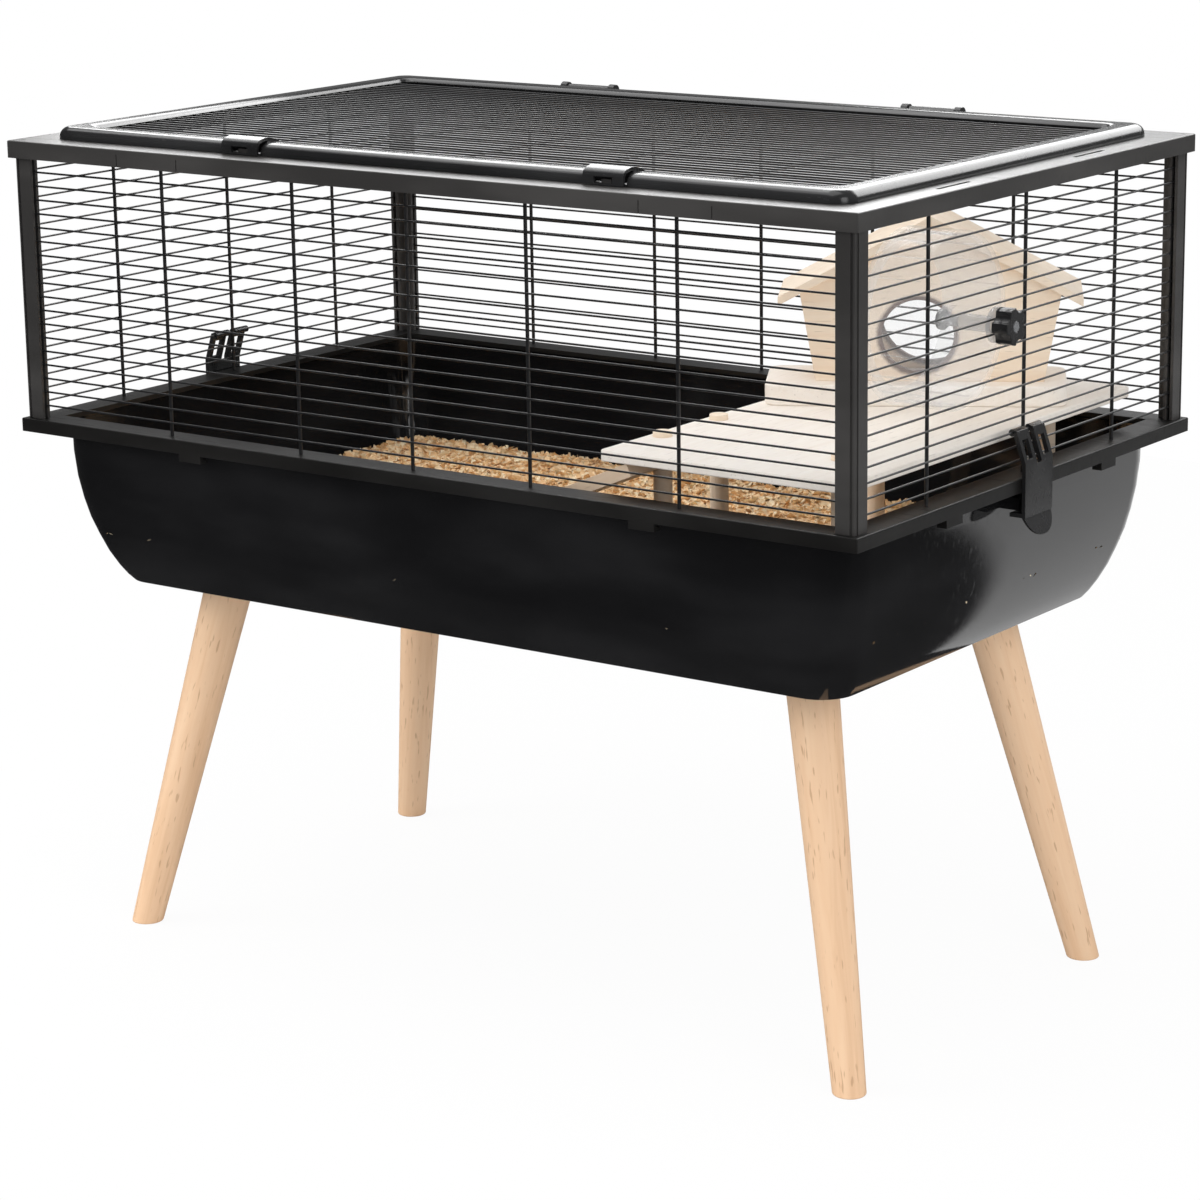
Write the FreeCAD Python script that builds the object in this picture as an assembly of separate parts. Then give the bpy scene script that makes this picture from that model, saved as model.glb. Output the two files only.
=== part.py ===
"""Small-animal cage: a plastic tub on four splayed wooden legs, with a wire top, a hinged lid and fittings.

Millimetres. +X runs along the long front to the right, +Y to the back, +Z up.
The origin is on the floor, under the middle of the cage.
"""
import FreeCAD, Part
import math
import os

V = FreeCAD.Vector
X_AXIS = V(1, 0, 0)
Y_AXIS = V(0, 1, 0)
Z_AXIS = V(0, 0, 1)
ORIGIN = V(0, 0, 0)

# Overall
cage_length = 780.0
cage_width = 485.0
tub_base_height = 296.0
fit = 0.06
seat_gap = 0.3
joint_gap = 0.1
overrun = 5.0

# Tub
tub_depth = 131.4
tub_overhang = 18.0
tub_taper = 33.0
tub_wall = 3.0
tub_floor = 3.5
tub_corner_radius = 34.0
tub_corner_sides = 8
tub_foot_radius = 26.0
rim_flange_width = 14.0
rim_flange_thickness = 3.5
wall_level_shares = (0.0, 0.18, 0.34, 0.48, 0.60, 0.71, 0.81, 0.90, 0.96, 1.0)
wall_inset_shares = (0.0, 0.02, 0.08, 0.175, 0.285, 0.425, 0.57, 0.74, 0.88, 1.0)
tub_pad_length = 36.0
tub_pad_width = 14.0
tub_pad_height = 3.0
tub_pad_inset_x = 100.0
tub_pad_inset_y = 74.5

# Bedding
bedding_depth = 41.0
heap_cell = 22.0
heap_high = 2.6
heap_wave_shares = (0.77, 1.05, 1.86, 4.4)
heap_weight_shares = (0.3, 0.3, 0.2, 0.2)
heap_turn_deg = 37.0

# Legs
leg_foot_inset_x = 47.0
leg_foot_inset_y = 67.5
leg_socket_inset_x = 112.0
leg_socket_inset_y = 117.5
leg_top_diameter = 39.0
leg_foot_diameter = 25.0
leg_sides = 32
still_sides = 16
socket_diameter = 47.0
socket_drop = 12.0
stud_diameter = 8.0
stud_in_leg = 28.0
stud_in_insert = 10.0
insert_diameter = 13.0
insert_length = 12.0

# Rails
rail_skirt = 4.0
rail_web = 4.0
rail_edge_round = 1.2
bottom_rail_height = 10.6
bottom_rail_width = 24.0
top_rail_height = 13.5
top_rail_width = 40.0
snap_tab_length = 22.0
snap_tab_drop = 6.0
snap_tab_x = 212.0
snap_tab_y = 113.0
rail_slot_length = 44.0
rail_slot_width = 3.5
rail_slot_depth = 1.5
rail_slot_y = 97.0
rail_slot_inset = 13.0
rail_seam_inner_x = 213.0
rail_seam_outer_x = 274.0
rail_seam_width = 1.0
rail_seam_depth = 0.6

# Posts and wire panels
panel_height = 206.6
post_size = 16.0
post_arm = 8.0
post_corner_round = 2.0
post_groove_width = 2.0
post_groove_depth = 1.2
post_groove_inset = 2.2
wire_slot_width = 2.6
wire_slot_depth = 6.0
wire_inset = 8.0
wire_end_gap = 0.9
wire_sides = 8
thin_wire = 1.6
thick_wire = 2.8
weld_gap = 0.02
side_wire_count = 18
front_vertical_inner_x = 108.0
front_vertical_outer_x = 238.0
end_vertical_y = 135.0

# Lid
lid_inset = 24.5
lid_tube_width = 24.0
lid_tube_height = 9.0
lid_tube_round = 8.0
lid_corner_radius = 16.0
lid_wire_count = 35
lid_cross_wire = 2.2
lid_wire_height = 4.4
lid_groove_height = 4.6
lid_groove_base = 0.9
lid_groove_depth = 6.0

# Lid hinges
hinge_x = 168.0
hinge_axis_behind = 7.0
hinge_axis_height = 5.5
hinge_pin_diameter = 3.0
hinge_barrel_diameter = 7.0
hinge_barrel_length = 42.0
hinge_ear_thickness = 6.0
hinge_ear_depth = 10.0
hinge_plate_thickness = 1.4
hinge_web_height = 4.4
hinge_side_gap = 0.4

# Lid clips
clip_x = 168.0
clip_width = 35.0
clip_side_gap = 0.8
clip_pin_diameter = 6.0
clip_pin_height = 5.4
clip_sleeve_wall = 2.0
clip_shell = 2.4
clip_front_gap = 1.0
clip_window_width = 16.0
clip_window_height = 4.6
clip_window_sill = 1.6
clip_tip_reach = 13.5
clip_crown = 7.4
clip_front_shares = ((1.0, 0.2), (0.93, 0.56), (0.74, 0.83), (0.36, 1.0))
clip_back_shares = ((0.0, 0.98), (0.5, 0.77), (0.82, 0.46), (1.0, 0.16))
clip_under_shares = ((0.92, 0.07), (0.6, 0.26), (0.3, 0.5), (0.0, 0.62))
clip_hollow_shares = ((0.45, 0.67), (0.85, 0.48), (1.0, 0.14))
catch_peg_width = 9.0
catch_peg_thickness = 3.5
catch_peg_height = 4.4
catch_peg_gap = 2.0

# End latches
latch_width = 40.0
latch_thickness = 3.0
latch_wire_number = 3
latch_sleeve_diameter = 5.4
latch_clearance = 0.8
latch_slot_width = 7.0
latch_slot_length = 24.0
latch_window_width = 8.5
latch_window_height = 14.0
latch_flare = 6.0
latch_length = 76.0
latch_thumb_round = 18.0
latch_step = 0.9
latch_toe_thickness = 3.0
latch_toe_length = 10.0
latch_toe_gap = 0.6
lug_width = 26.0
lug_height = 9.0
lug_drop = 6.0
lug_reach = 13.0

# Shelf, its posts and the ramp
shelf_thickness = 8.0
shelf_above_rim = 32.6
shelf_length = 210.0
shelf_end_gap = 20.0
shelf_front_gap = 24.5
shelf_back_gap = 34.5
shelf_corner_radius = 6.0
dowel_diameter = 14.0
dowel_cap = 4.0
dowel_left_edge = 11.0
dowel_right_edge = 46.0
dowel_front_edge = 65.0
dowel_spacing = 73.0
dowel_back_edge = 50.0
ramp_slope_deg = 23.0
ramp_thickness = 10.0
ramp_width = 60.0
ramp_under_shelf = 22.0
ramp_front_gap = 4.0

# House
board = 6.0
house_turn_deg = 30.0
house_end_gap = 99.0
house_back_gap = 136.0
house_floor_width = 172.0
house_eave_width = 196.0
house_depth = 62.0
house_base_thickness = 16.0
house_base_left = 124.0
house_base_right = 103.0
house_base_front = 18.0
house_base_back = 4.0
house_base_round = 12.0
house_wall_height = 59.0
roof_half_width = 114.0
roof_rise = 61.0
roof_overhang_y = 10.0
door_diameter = 54.0
door_height = 35.0
door_offset = -9.0
back_hole_diameter = 76.0
back_hole_height = 44.0

# Exercise wheel
wheel_diameter = 130.0
wheel_width = 46.0
wheel_wall = 2.2
wheel_lip = 13.0
wheel_hub_diameter = 22.0
wheel_hub_length = 12.0
wheel_rung_count = 20
wheel_rung_height = 2.0
wheel_rung_width = 2.4
wheel_house_gap = 104.0
wheel_shelf_gap = 16.0
wheel_end_gap = 32.0
axle_diameter = 8.0
axle_collar_diameter = 26.0
axle_collar_thickness = 3.0
axle_sleeve_diameter = 12.0
retainer_diameter = 15.0
retainer_thickness = 4.0
knob_diameter = 27.0
knob_thickness = 13.0
knob_scallops = 5
knob_scallop_diameter = 12.0
wheel_side_gap = 0.6

# Places worked out from the sizes above
half_length = cage_length / 2
half_width = cage_width / 2
rim_top = tub_base_height + tub_depth
panel_base = rim_top + rail_web
panel_top = panel_base + panel_height
frame_top = panel_top + top_rail_height
floor_top = tub_base_height + tub_floor
bedding_top = floor_top + bedding_depth
lid_base = frame_top + seat_gap
lid_half_x = half_length - lid_inset
lid_half_y = half_width - lid_inset
wire_pitch = panel_height / (side_wire_count + 1)
post_face = rail_skirt + joint_gap
end_wire_x = half_length - wire_inset
front_wire_y = half_width - wire_inset
leg_foot_x = half_length - leg_foot_inset_x
leg_foot_y = half_width - leg_foot_inset_y
leg_socket_x = half_length - leg_socket_inset_x
leg_socket_y = half_width - leg_socket_inset_y
shelf_height = rim_top + shelf_above_rim
shelf_right = end_wire_x - shelf_end_gap
shelf_left = shelf_right - shelf_length
shelf_front = -front_wire_y + shelf_front_gap
shelf_back = front_wire_y - shelf_back_gap
dowel_front_y = shelf_front + dowel_front_edge
dowel_middle_y = dowel_front_y + dowel_spacing
dowel_back_y = shelf_back - dowel_back_edge
house_x = shelf_right - house_end_gap
house_y = shelf_back - house_back_gap
house_floor_z = shelf_height + house_base_thickness
wheel_y = house_y - wheel_house_gap
wheel_lowest = shelf_height + wheel_shelf_gap + wheel_diameter / 2
wheel_gap_number = math.ceil((wheel_lowest - panel_base) / wire_pitch - 1 / 2)
wheel_z = panel_base + wire_pitch * (wheel_gap_number + 1 / 2)


def save(name, *solids):
    """Write one node: a single solid, or a group of separate ones."""
    shape = solids[0] if len(solids) == 1 else Part.makeCompound(list(solids))
    shape.exportStep("parts/" + name + ".step")


def span(x0, x1, y0, y1, z0, z1):
    """A box between two corners."""
    return Part.makeBox(x1 - x0, y1 - y0, z1 - z0, V(x0, y0, z0))


def rod(start, direction, diameter, length):
    return Part.makeCylinder(diameter / 2, length, start, direction)


def ring_of(centre, direction, diameter, sides):
    """A closed outline with equal sides, square to a direction."""
    flat = Z_AXIS if abs(direction.z) < abs(direction.x) + abs(direction.y) else X_AXIS
    across = direction.cross(flat).normalize()
    beside = direction.cross(across).normalize()
    points = []
    for number in range(sides):
        turn = 2 * math.pi * (number + 0.5) / sides
        points.append(centre + (across * math.cos(turn) + beside * math.sin(turn)) * (diameter / 2))
    return Part.makePolygon(points + [points[0]])


def still_rod(start, direction, diameter, length):
    """A pin that never turns, or the hole it stands in: the same flat sides on both."""
    return Part.Face(ring_of(start, direction, diameter, still_sides)).extrude(direction * length)


def wire_rod(start, direction, diameter, length):
    """A straight wire with a few flat sides."""
    return Part.Face(ring_of(start, direction, diameter, wire_sides)).extrude(direction * length)


def flip_x(shape):
    return shape.mirror(ORIGIN, X_AXIS)


def flip_y(shape):
    return shape.mirror(ORIGIN, Y_AXIS)


def rounded_wire(half_x, half_y, radius, z):
    """A rectangle with round corners, level at z and centred on the Z axis."""
    bend = radius * math.sqrt(0.5)
    corners = ((1, 1), (-1, 1), (-1, -1), (1, -1))
    starts = []
    arcs = []
    for index, (sx, sy) in enumerate(corners):
        centre = V(sx * (half_x - radius), sy * (half_y - radius), z)
        on_x = centre + V(sx * radius, 0, 0)
        on_y = centre + V(0, sy * radius, 0)
        ends = (on_x, on_y) if index % 2 == 0 else (on_y, on_x)
        arcs.append(Part.Arc(ends[0], centre + V(sx * bend, sy * bend, 0), ends[1]).toShape())
        starts.append(ends)
    edges = []
    for index, arc in enumerate(arcs):
        edges.append(arc)
        edges.append(Part.makeLine(starts[index][1], starts[(index + 1) % len(arcs)][0]))
    return Part.Wire(edges)


def tub_wire(half_x, half_y, radius, z):
    """A rectangle whose corners turn in a few short sides, level at z."""
    points = []
    for quarter, (sx, sy) in enumerate(((1, 1), (-1, 1), (-1, -1), (1, -1))):
        centre = V(sx * (half_x - radius), sy * (half_y - radius), z)
        for number in range(tub_corner_sides + 1):
            turn = math.pi / 2 * (quarter + number / tub_corner_sides)
            points.append(centre + V(radius * math.cos(turn), radius * math.sin(turn), 0))
    return Part.makePolygon(points + [points[0]])


def rounded_block(half_x, half_y, radius, z0, z1):
    return Part.Face(rounded_wire(half_x, half_y, radius, z0)).extrude(V(0, 0, z1 - z0))


def plate(points, direction):
    """A flat outline pushed along a direction."""
    return Part.Face(Part.makePolygon(points + [points[0]])).extrude(direction)


def prism_along_y(points_xz, y0, y1):
    """A prism along Y from an outline of (x, z) points."""
    return plate([V(x, y0, z) for x, z in points_xz], V(0, y1 - y0, 0))


# Tub

def tub_half_sizes(level_share, inset_share, shrink):
    half_x = half_length - tub_overhang - tub_taper * inset_share - shrink
    half_y = half_width - tub_overhang - tub_taper * inset_share - shrink
    radius = tub_corner_radius + (tub_foot_radius - tub_corner_radius) * level_share - shrink
    return half_x, half_y, radius


def tub_body(shrink, base, top):
    """The tub's curved, tapering form, drawn in by shrink and running from base to top."""
    wires = []
    for level_share, inset_share in zip(wall_level_shares, wall_inset_shares):
        half_x, half_y, radius = tub_half_sizes(level_share, inset_share, shrink)
        wires.append(tub_wire(half_x, half_y, radius, top + (base - top) * level_share))
    return Part.makeLoft(wires, True, True)


def leg_line(sx, sy):
    """Foot centre on the floor, leg top centre and the unit direction between them."""
    foot = V(sx * leg_foot_x, sy * leg_foot_y, 0)
    socket = V(sx * leg_socket_x, sy * leg_socket_y, tub_base_height)
    direction = (socket - foot).normalize()
    return foot, socket - direction * socket_drop, direction


def base_tub():
    body = tub_body(0, tub_base_height, rim_top)
    half_x, half_y, radius = tub_half_sizes(0, 0, 0)
    flange = Part.Face(tub_wire(half_x + rim_flange_width, half_y + rim_flange_width, radius + rim_flange_width,
                                rim_top - rim_flange_thickness)).extrude(V(0, 0, rim_flange_thickness))
    added = [flange]
    holes = []
    for sx in (-1, 1):
        for sy in (-1, 1):
            foot, top, direction = leg_line(sx, sy)
            socket = Part.Face(ring_of(top, direction, socket_diameter, leg_sides))
            added.append(socket.extrude(direction * (socket_drop + socket_diameter / 2)))
            holes.append(still_rod(top, direction, insert_diameter + 2 * fit, insert_length + joint_gap))
            pad_x = sx * (half_length - tub_pad_inset_x)
            pad_y = sy * (half_width - tub_pad_inset_y)
            added.append(span(pad_x - tub_pad_length / 2, pad_x + tub_pad_length / 2,
                              pad_y - tub_pad_width / 2, pad_y + tub_pad_width / 2,
                              tub_base_height - tub_pad_height, floor_top))
        lug_top = lug_level()
        lug_x = half_x - tub_taper * wall_inset_shares[2]
        lug = span(lug_x - tub_wall, half_x + lug_reach, -lug_width / 2, lug_width / 2,
                   lug_top - lug_height, lug_top)
        added.append(lug if sx > 0 else flip_x(lug))
    tub = body.fuse(added)
    cavity = tub_body(tub_wall, floor_top, rim_top)
    mouth_x, mouth_y, mouth_radius = tub_half_sizes(0, 0, tub_wall)
    mouth = Part.Face(tub_wire(mouth_x, mouth_y, mouth_radius, rim_top - joint_gap)).extrude(V(0, 0, overrun))
    return tub.cut([cavity, mouth] + holes).removeSplitter()


def lug_level():
    """Top of the catch lugs on the tub's ends, under the rail's skirt."""
    return panel_base - bottom_rail_height - lug_drop


def heap_level(x, y):
    """Height of the heaped top: a few crossing waves, level under the ramp's foot."""
    level = 0
    for number, (wave_share, weight_share) in enumerate(zip(heap_wave_shares, heap_weight_shares)):
        length = heap_cell * wave_share
        turn = math.radians(heap_turn_deg * (2 * number + 1))
        along = x * math.cos(turn) + y * math.sin(turn)
        across = y * math.cos(turn) - x * math.sin(turn)
        level += weight_share * math.sin(2 * math.pi * along / length) * math.cos(2 * math.pi * across / length)
    level *= 2 * heap_high
    if shelf_front - heap_cell < y < shelf_front + ramp_front_gap + ramp_width + 2 * heap_cell:
        level = min(level, 0)
    return bedding_top + max(-heap_high, min(heap_high, level))


def heap():
    """A block with flat sides whose top is a net of small facets."""
    columns = math.ceil(half_length / heap_cell)
    rows = math.ceil(half_width / heap_cell)
    base = floor_top + seat_gap
    faces = []
    top = {}
    for column in range(-columns, columns + 1):
        for row in range(-rows, rows + 1):
            x, y = column * heap_cell, row * heap_cell
            top[column, row] = V(x, y, heap_level(x, y))
    for column in range(-columns, columns):
        for row in range(-rows, rows):
            a, b = top[column, row], top[column + 1, row]
            c, d = top[column + 1, row + 1], top[column, row + 1]
            for corners in ((a, b, c), (a, c, d)):
                faces.append(Part.Face(Part.makePolygon(list(corners) + [corners[0]])))
    round_the_edge = [(column, -rows) for column in range(-columns, columns)]
    round_the_edge += [(columns, row) for row in range(-rows, rows)]
    round_the_edge += [(column, rows) for column in range(columns, -columns, -1)]
    round_the_edge += [(-columns, row) for row in range(rows, -rows, -1)]
    foot = {place: V(top[place].x, top[place].y, base) for place in round_the_edge}
    for place, following in zip(round_the_edge, round_the_edge[1:] + round_the_edge[:1]):
        side = [foot[place], foot[following], top[following], top[place], foot[place]]
        faces.append(Part.Face(Part.makePolygon(side)))
    under = [foot[place] for place in round_the_edge]
    faces.append(Part.Face(Part.makePolygon(under + under[:1])))
    return Part.Solid(Part.Shell(faces))


def bedding():
    """The layer of shavings, heaped on top, clear of the tub and of the shelf's posts."""
    layer = tub_body(tub_wall + seat_gap, floor_top, rim_top)
    keep = heap()
    holes = [still_rod(V(x, y, tub_base_height), Z_AXIS, dowel_diameter + 2 * seat_gap, tub_depth)
             for x, y in dowel_places()]
    return layer.common(keep).cut(holes)


# Legs

def leg(sx, sy):
    """A tapered round leg, cut level at the floor and bored for its stud."""
    foot, top, direction = leg_line(sx, sy)
    length = (top - foot).Length
    taper = (leg_top_diameter - leg_foot_diameter) / 2 / length
    extra = leg_foot_diameter / 2
    foot_ring = ring_of(foot - direction * extra, direction, leg_foot_diameter - 2 * taper * extra, leg_sides)
    top_ring = ring_of(top, direction, leg_top_diameter, leg_sides)
    cone = Part.makeLoft([foot_ring, top_ring], True, True)
    reach = leg_foot_x + leg_top_diameter
    above = span(-reach, reach, -reach, reach, 0, tub_base_height + tub_depth)
    bore = still_rod(top - direction * (stud_in_leg + joint_gap), direction,
                     stud_diameter + 2 * fit, stud_in_leg + overrun)
    return cone.common(above).cut(bore)


def leg_studs():
    studs = []
    for sx in (-1, 1):
        for sy in (-1, 1):
            foot, top, direction = leg_line(sx, sy)
            studs.append(still_rod(top - direction * stud_in_leg, direction, stud_diameter,
                                   stud_in_leg + stud_in_insert))
    return studs


def leg_inserts():
    inserts = []
    for sx in (-1, 1):
        for sy in (-1, 1):
            foot, top, direction = leg_line(sx, sy)
            tube = still_rod(top, direction, insert_diameter, insert_length)
            bore = still_rod(top - direction * overrun, direction, stud_diameter + 2 * fit,
                             stud_in_insert + overrun + joint_gap)
            inserts.append(tube.cut(bore))
    return inserts


# Rails

def rail_ring(base, top, width):
    """A frame of angle section: a level web with a skirt round its outside."""
    outer = span(-half_length, half_length, -half_width, half_width, base, top)
    outer = outer.makeFillet(rail_edge_round, [e for e in outer.Edges if is_upright(e) or is_top(e, top)])
    hole = span(-half_length + width, half_length - width, -half_width + width, half_width - width,
                base - overrun, top + overrun)
    under = span(-half_length + rail_skirt, half_length - rail_skirt,
                 -half_width + rail_skirt, half_width - rail_skirt, base - overrun, top - rail_web)
    return outer.cut([hole, under])


def is_upright(edge):
    first, last = edge.Vertexes[0].Point, edge.Vertexes[-1].Point
    return abs(first.x - last.x) + abs(first.y - last.y) < joint_gap


def is_top(edge, z):
    return all(abs(vertex.Z - z) < joint_gap for vertex in edge.Vertexes)


def mitre_prisms(depth, base, top):
    """Four prisms that part a frame at mitred corners: front, back, left and right."""
    gap = joint_gap / 2
    x0, x1 = half_length - depth, half_length + overrun
    y0, y1 = half_width - depth, half_width + overrun
    rise = V(0, 0, top - base + 2 * overrun)
    low = base - overrun
    front = plate([V(-x1 + gap, -y1, low), V(x1 - gap, -y1, low), V(x0 - gap, -y0, low),
                   V(-x0 + gap, -y0, low)], rise)
    right = plate([V(x1, -y1 + gap, low), V(x1, y1 - gap, low), V(x0, y0 - gap, low),
                   V(x0, -y0 + gap, low)], rise)
    return front, flip_y(front), flip_x(right), right


def snap_tabs():
    """Small hooks under the bottom rails that snap below the tub's rim."""
    base = panel_base - bottom_rail_height - snap_tab_drop
    top = panel_base - rail_web
    reach = tub_overhang - rim_flange_width + rail_skirt
    tabs = []
    for sx in (-1, 1):
        x = sx * snap_tab_x
        y = sx * snap_tab_y
        tab = span(x - snap_tab_length / 2, x + snap_tab_length / 2, -half_width + joint_gap,
                   -half_width + rail_skirt, base, top)
        toe = span(x - snap_tab_length / 2, x + snap_tab_length / 2, -half_width + joint_gap,
                   -half_width + reach, base, base + snap_tab_drop / 2)
        tabs.append(tab.fuse(toe))
        tabs.append(flip_y(tabs[-1]))
        tab = span(half_length - rail_skirt, half_length - joint_gap, y - snap_tab_length / 2,
                   y + snap_tab_length / 2, base, top)
        toe = span(half_length - reach, half_length - joint_gap, y - snap_tab_length / 2,
                   y + snap_tab_length / 2, base, base + snap_tab_drop / 2)
        tabs.append(tab.fuse(toe))
        tabs.append(flip_x(tabs[-1]))
    return tabs


def bottom_rails():
    base = panel_base - bottom_rail_height
    ring = rail_ring(base, panel_base, bottom_rail_width)
    ring = ring.fuse(snap_tabs()).removeSplitter()
    prisms = mitre_prisms(bottom_rail_width, base - snap_tab_drop, panel_base)
    return [ring.common(prism) for prism in prisms]


def top_rails():
    ring = rail_ring(panel_top, frame_top, top_rail_width)
    cuts = []
    for sx in (-1, 1):
        for sy in (-1, 1):
            x = sx * (half_length - rail_slot_inset)
            y = sy * rail_slot_y
            cuts.append(span(x - rail_slot_width / 2, x + rail_slot_width / 2, y - rail_slot_length / 2,
                             y + rail_slot_length / 2, frame_top - rail_slot_depth, frame_top + overrun))
        for seam in (rail_seam_inner_x, rail_seam_outer_x):
            x = sx * seam
            cuts.append(span(x - rail_seam_width / 2, x + rail_seam_width / 2, -half_width - overrun,
                             -half_width + rail_seam_depth, panel_top - overrun, frame_top - rail_web))
    ring = ring.cut(cuts)
    pegs = []
    for sx in (-1, 1):
        x = sx * clip_x
        front = -lid_half_y + catch_peg_gap - clip_front_gap
        pegs.append(span(x - catch_peg_width / 2, x + catch_peg_width / 2, front,
                         front + catch_peg_thickness, frame_top - rail_web / 2,
                         frame_top + catch_peg_height))
    ring = ring.fuse(pegs).removeSplitter()
    return [ring.common(prism) for prism in mitre_prisms(top_rail_width, panel_top, frame_top)]


# Posts and panels

def corner_post():
    """The front right post: an angle with slots that hold the wire ends and a groove by its corner."""
    x1 = half_length - post_face
    y1 = -half_width + post_face
    base, top = panel_base, frame_top - rail_web
    block = span(x1 - post_size, x1, y1, y1 + post_size, base, top)
    corner = [e for e in block.Edges if is_upright(e) and abs(e.Vertexes[0].X - x1) < joint_gap
              and abs(e.Vertexes[0].Y - y1) < joint_gap]
    block = block.makeFillet(post_corner_round, corner)
    low, high = base - overrun, top + overrun
    cuts = [span(x1 - post_size - overrun, x1 - post_arm, y1 + post_arm, y1 + post_size + overrun, low, high)]
    wire_y = -front_wire_y
    cuts.append(span(x1 - post_size - overrun, x1 - post_size + wire_slot_depth, wire_y - wire_slot_width / 2,
                     wire_y + wire_slot_width / 2, low, high))
    cuts.append(span(end_wire_x - wire_slot_width / 2, end_wire_x + wire_slot_width / 2,
                     y1 + post_size - wire_slot_depth, y1 + post_size + overrun, low, high))
    groove = post_corner_round + post_groove_inset
    cuts.append(span(x1 - groove, x1 - groove + post_groove_width, y1 - overrun, y1 + post_groove_depth, low, high))
    cuts.append(span(x1 - post_groove_depth, x1 + overrun, y1 + groove - post_groove_width, y1 + groove, low, high))
    return block.cut(cuts)


def wire_levels():
    return [panel_base + wire_pitch * (number + 1) for number in range(side_wire_count)]


def upright_ends():
    return panel_base + seat_gap, frame_top - rail_web - seat_gap


def front_panel():
    """Level wires between the front posts, with thicker uprights welded inside them."""
    reach = half_length - post_face - post_size + wire_slot_depth - wire_end_gap
    wires = [wire_rod(V(-reach, -front_wire_y, z), X_AXIS, thin_wire, 2 * reach) for z in wire_levels()]
    low, high = upright_ends()
    y = -front_wire_y + (thin_wire + thick_wire) / 2 + weld_gap
    for x in (-front_vertical_outer_x, -front_vertical_inner_x, 0, front_vertical_inner_x, front_vertical_outer_x):
        wires.append(wire_rod(V(x, y, low), Z_AXIS, thick_wire, high - low))
    return wires


def right_panel():
    reach = half_width - post_face - post_size + wire_slot_depth - wire_end_gap
    wires = [wire_rod(V(end_wire_x, -reach, z), Y_AXIS, thin_wire, 2 * reach) for z in wire_levels()]
    low, high = upright_ends()
    x = end_wire_x - (thin_wire + thick_wire) / 2 - weld_gap
    for y in (-end_vertical_y, 0, end_vertical_y):
        wires.append(wire_rod(V(x, y, low), Z_AXIS, thick_wire, high - low))
    return wires


# Lid

def hinge_axis():
    """Height and depth of the lid's hinge axis, which runs along X."""
    return lid_half_y + hinge_axis_behind, lid_base + hinge_axis_height


def clip_axis():
    """Depth and height of the clips' axis, in the middle of the lid's front tube."""
    return -lid_half_y + lid_tube_width / 2, lid_base + clip_pin_height


def lid_frame():
    """A rounded frame, grooved inside for the wires, with hinge barrels and two bare pins for the clips."""
    top = lid_base + lid_tube_height
    block = rounded_block(lid_half_x, lid_half_y, lid_corner_radius, lid_base, top)
    hole = rounded_block(lid_half_x - lid_tube_width, lid_half_y - lid_tube_width,
                         lid_corner_radius / 2, lid_base - overrun, top + overrun)
    ring = block.cut(hole)
    ring = ring.makeFillet(lid_tube_round, [e for e in ring.Edges if is_top(e, top)])
    groove = span(-lid_half_x + lid_tube_width - lid_groove_depth, lid_half_x - lid_tube_width + lid_groove_depth,
                  -lid_half_y + lid_tube_width - lid_groove_depth, lid_half_y - lid_tube_width + lid_groove_depth,
                  lid_base + lid_groove_base, lid_base + lid_groove_base + lid_groove_height)
    axis_y, axis_z = hinge_axis()
    pin_y, pin_z = clip_axis()
    cuts = [groove]
    added = []
    bores = []
    for sx in (-1, 1):
        x = sx * clip_x
        half = clip_width / 2 + clip_side_gap
        cuts.append(span(x - half, x + half, -lid_half_y - overrun, -lid_half_y + lid_tube_width + overrun,
                         lid_base - overrun, top + overrun))
        added.append(rod(V(x - half - overrun, pin_y, pin_z), X_AXIS, clip_pin_diameter, 2 * (half + overrun)))
        start = V(sx * hinge_x - hinge_barrel_length / 2, axis_y, axis_z)
        added.append(rod(start, X_AXIS, hinge_barrel_diameter, hinge_barrel_length))
        added.append(span(start.x, start.x + hinge_barrel_length, lid_half_y - lid_tube_width / 4, axis_y,
                          axis_z - hinge_web_height / 2, axis_z + hinge_web_height / 2))
        bores.append(rod(start - X_AXIS * overrun, X_AXIS, hinge_pin_diameter + 2 * fit,
                         hinge_barrel_length + 2 * overrun))
    return ring.cut(cuts).fuse(added).cut(bores).removeSplitter()


def lid_wires():
    """Close wires along the lid, lying on a few thicker cross wires."""
    reach_x = lid_half_x - lid_tube_width + lid_groove_depth - wire_end_gap
    reach_y = lid_half_y - lid_tube_width + lid_groove_depth - wire_end_gap
    inner = 2 * (lid_half_y - lid_tube_width)
    pitch = inner / (lid_wire_count + 1)
    z = lid_base + lid_wire_height
    wires = []
    for number in range(lid_wire_count):
        y = -inner / 2 + pitch * (number + 1)
        wires.append(wire_rod(V(-reach_x, y, z), X_AXIS, thin_wire, 2 * reach_x))
    cross_z = z - (thin_wire + lid_cross_wire) / 2 - weld_gap
    for x in (-front_vertical_outer_x, -front_vertical_inner_x, 0, front_vertical_inner_x, front_vertical_outer_x):
        wires.append(wire_rod(V(x, -reach_y, cross_z), Y_AXIS, lid_cross_wire, 2 * reach_y))
    return wires


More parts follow.
